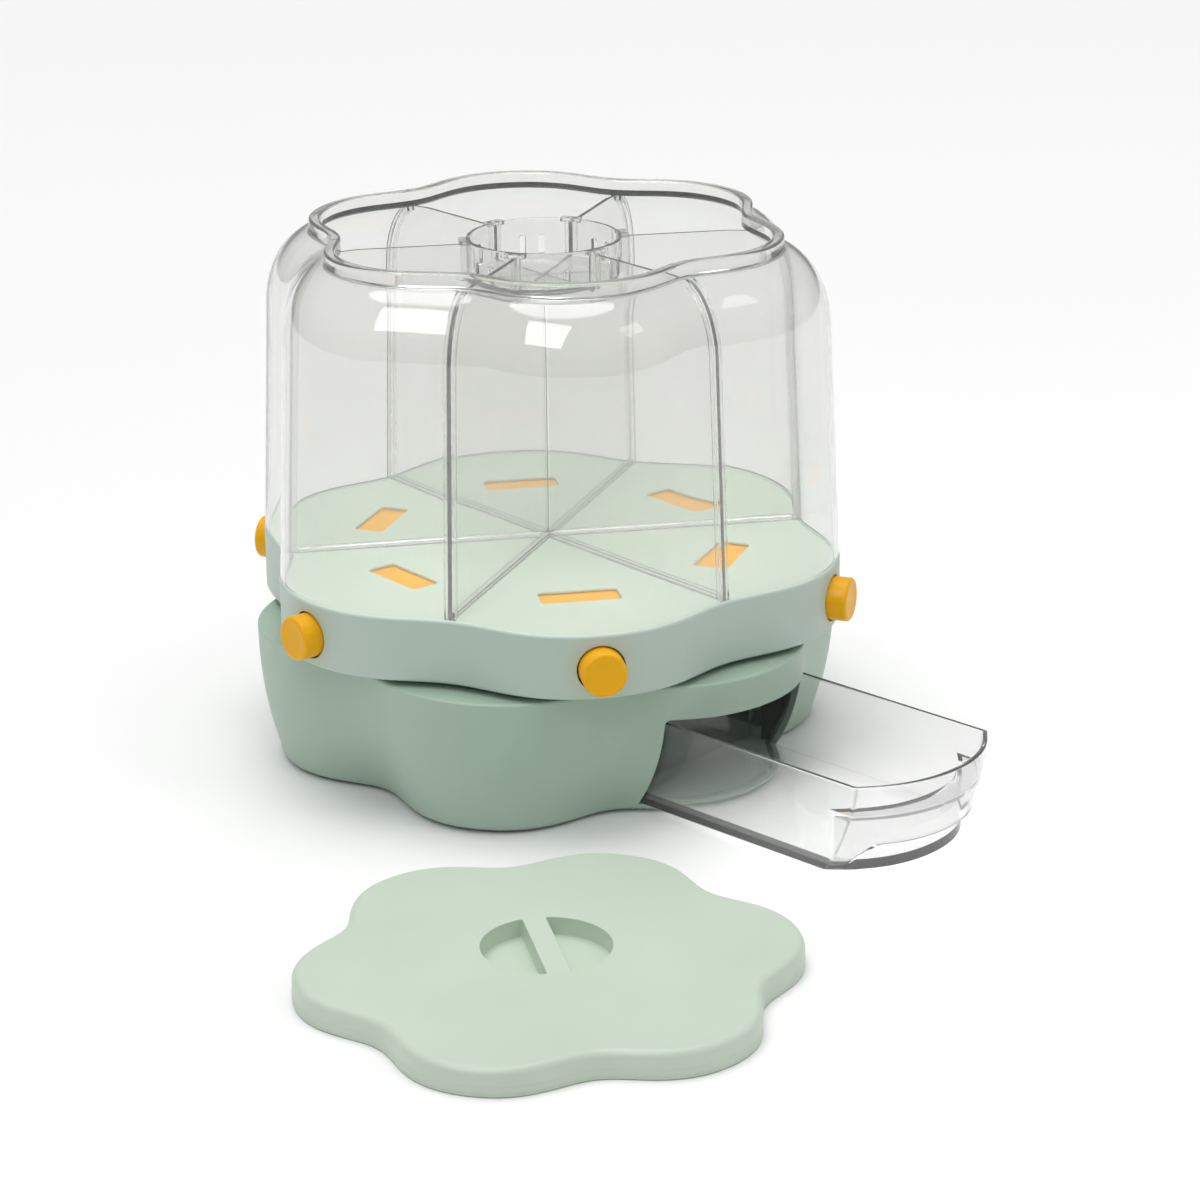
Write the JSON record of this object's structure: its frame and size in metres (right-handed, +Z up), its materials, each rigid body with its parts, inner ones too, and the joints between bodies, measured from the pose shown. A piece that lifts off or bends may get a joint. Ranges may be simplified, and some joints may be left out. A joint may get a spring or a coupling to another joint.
{
  "type": "turntable dry food dispenser",
  "caption": "Clear lobed container of dry food on a turning tray, with a push-button gate for each compartment, over a base with a catch drawer and a separate lid.",
  "frame": {"origin": "on the turntable's axis, on the surface that the feet stand on", "axes": "+Z up along the turntable's axis; the drawer pulls out along -Y; the loose lid lies beside the base towards -X and -Y"},
  "size_m": [0.441, 0.4355, 0.247],
  "materials": {
    "sage_plastic": "satin moulded, pale grey green",
    "pale_plastic": "satin moulded, very pale grey green",
    "clear_plastic": "clear, polished",
    "yellow_plastic": "smooth, warm yellow",
    "rubber": "matt",
    "silicone": "soft, coloured to match the lid",
    "nylon": "smooth",
    "steel": "zinc plated"
  },
  "bodies": {
    "base": {"base_shell": "sage_plastic", "base_plate": "sage_plastic", "foot_1": "rubber", "foot_2": "rubber", "foot_3": "rubber", "foot_4": "rubber", "foot_5": "rubber", "foot_6": "rubber", "foot_centre": "rubber", "base_screw_1": "steel", "base_screw_2": "steel", "base_screw_3": "steel", "base_screw_4": "steel", "base_screw_5": "steel", "base_screw_6": "steel", "glide_ring": "nylon", "pivot_washer": "steel", "pivot_screw": "steel"},
    "carousel": {"tray": "sage_plastic", "tray_cover": "pale_plastic", "container_shell": "clear_plastic", "divider": "clear_plastic", "desiccant_cup": "clear_plastic", "cover_screw_1": "steel", "cover_screw_2": "steel", "cover_screw_3": "steel", "cover_screw_4": "steel", "cover_screw_5": "steel", "cover_screw_6": "steel", "spring_1": "steel", "spring_2": "steel", "spring_3": "steel", "spring_4": "steel", "spring_5": "steel", "spring_6": "steel"},
    "button_1": {"button_1": "yellow_plastic"},
    "button_2": {"button_2": "yellow_plastic"},
    "button_3": {"button_3": "yellow_plastic"},
    "button_4": {"button_4": "yellow_plastic"},
    "button_5": {"button_5": "yellow_plastic"},
    "button_6": {"button_6": "yellow_plastic"},
    "drawer": {"drawer": "clear_plastic"},
    "lid": {"lid": "pale_plastic", "lid_seal": "silicone"}
  },
  "joints": [
    {"name": "carousel_turn", "type": "hinge", "parent": "base", "child": "carousel", "pos_m": [0, 0, 0.08], "axis": [0, 0, 1], "continuous": true},
    {"name": "button_1_press", "type": "slide", "parent": "carousel", "child": "button_1", "axis": [-0.4115, 0.9114, 0], "range_m": [0, 0.008], "stiffness_N_per_m": 300, "deforming": ["spring_1"]},
    {"name": "button_2_press", "type": "slide", "parent": "carousel", "child": "button_2", "axis": [-0.9951, 0.0993, 0], "range_m": [0, 0.008], "stiffness_N_per_m": 300, "deforming": ["spring_2"]},
    {"name": "button_3_press", "type": "slide", "parent": "carousel", "child": "button_3", "axis": [-0.5835, -0.8121, 0], "range_m": [0, 0.008], "stiffness_N_per_m": 300, "deforming": ["spring_3"]},
    {"name": "button_4_press", "type": "slide", "parent": "carousel", "child": "button_4", "axis": [0.4115, -0.9114, 0], "range_m": [0, 0.008], "stiffness_N_per_m": 300, "deforming": ["spring_4"]},
    {"name": "button_5_press", "type": "slide", "parent": "carousel", "child": "button_5", "axis": [0.9951, -0.0993, 0], "range_m": [0, 0.008], "stiffness_N_per_m": 300, "deforming": ["spring_5"]},
    {"name": "button_6_press", "type": "slide", "parent": "carousel", "child": "button_6", "axis": [0.5835, 0.8121, 0], "range_m": [0, 0.008], "stiffness_N_per_m": 300, "deforming": ["spring_6"]},
    {"name": "drawer_slide", "type": "slide", "parent": "base", "child": "drawer", "axis": [0, -1, 0], "range_m": [-0.107, 0.02]},
    {"name": "lid_lift", "type": "slide", "parent": "base", "child": "lid", "axis": [0, 0, 1], "range_m": [0, 0.3]}
  ]
}
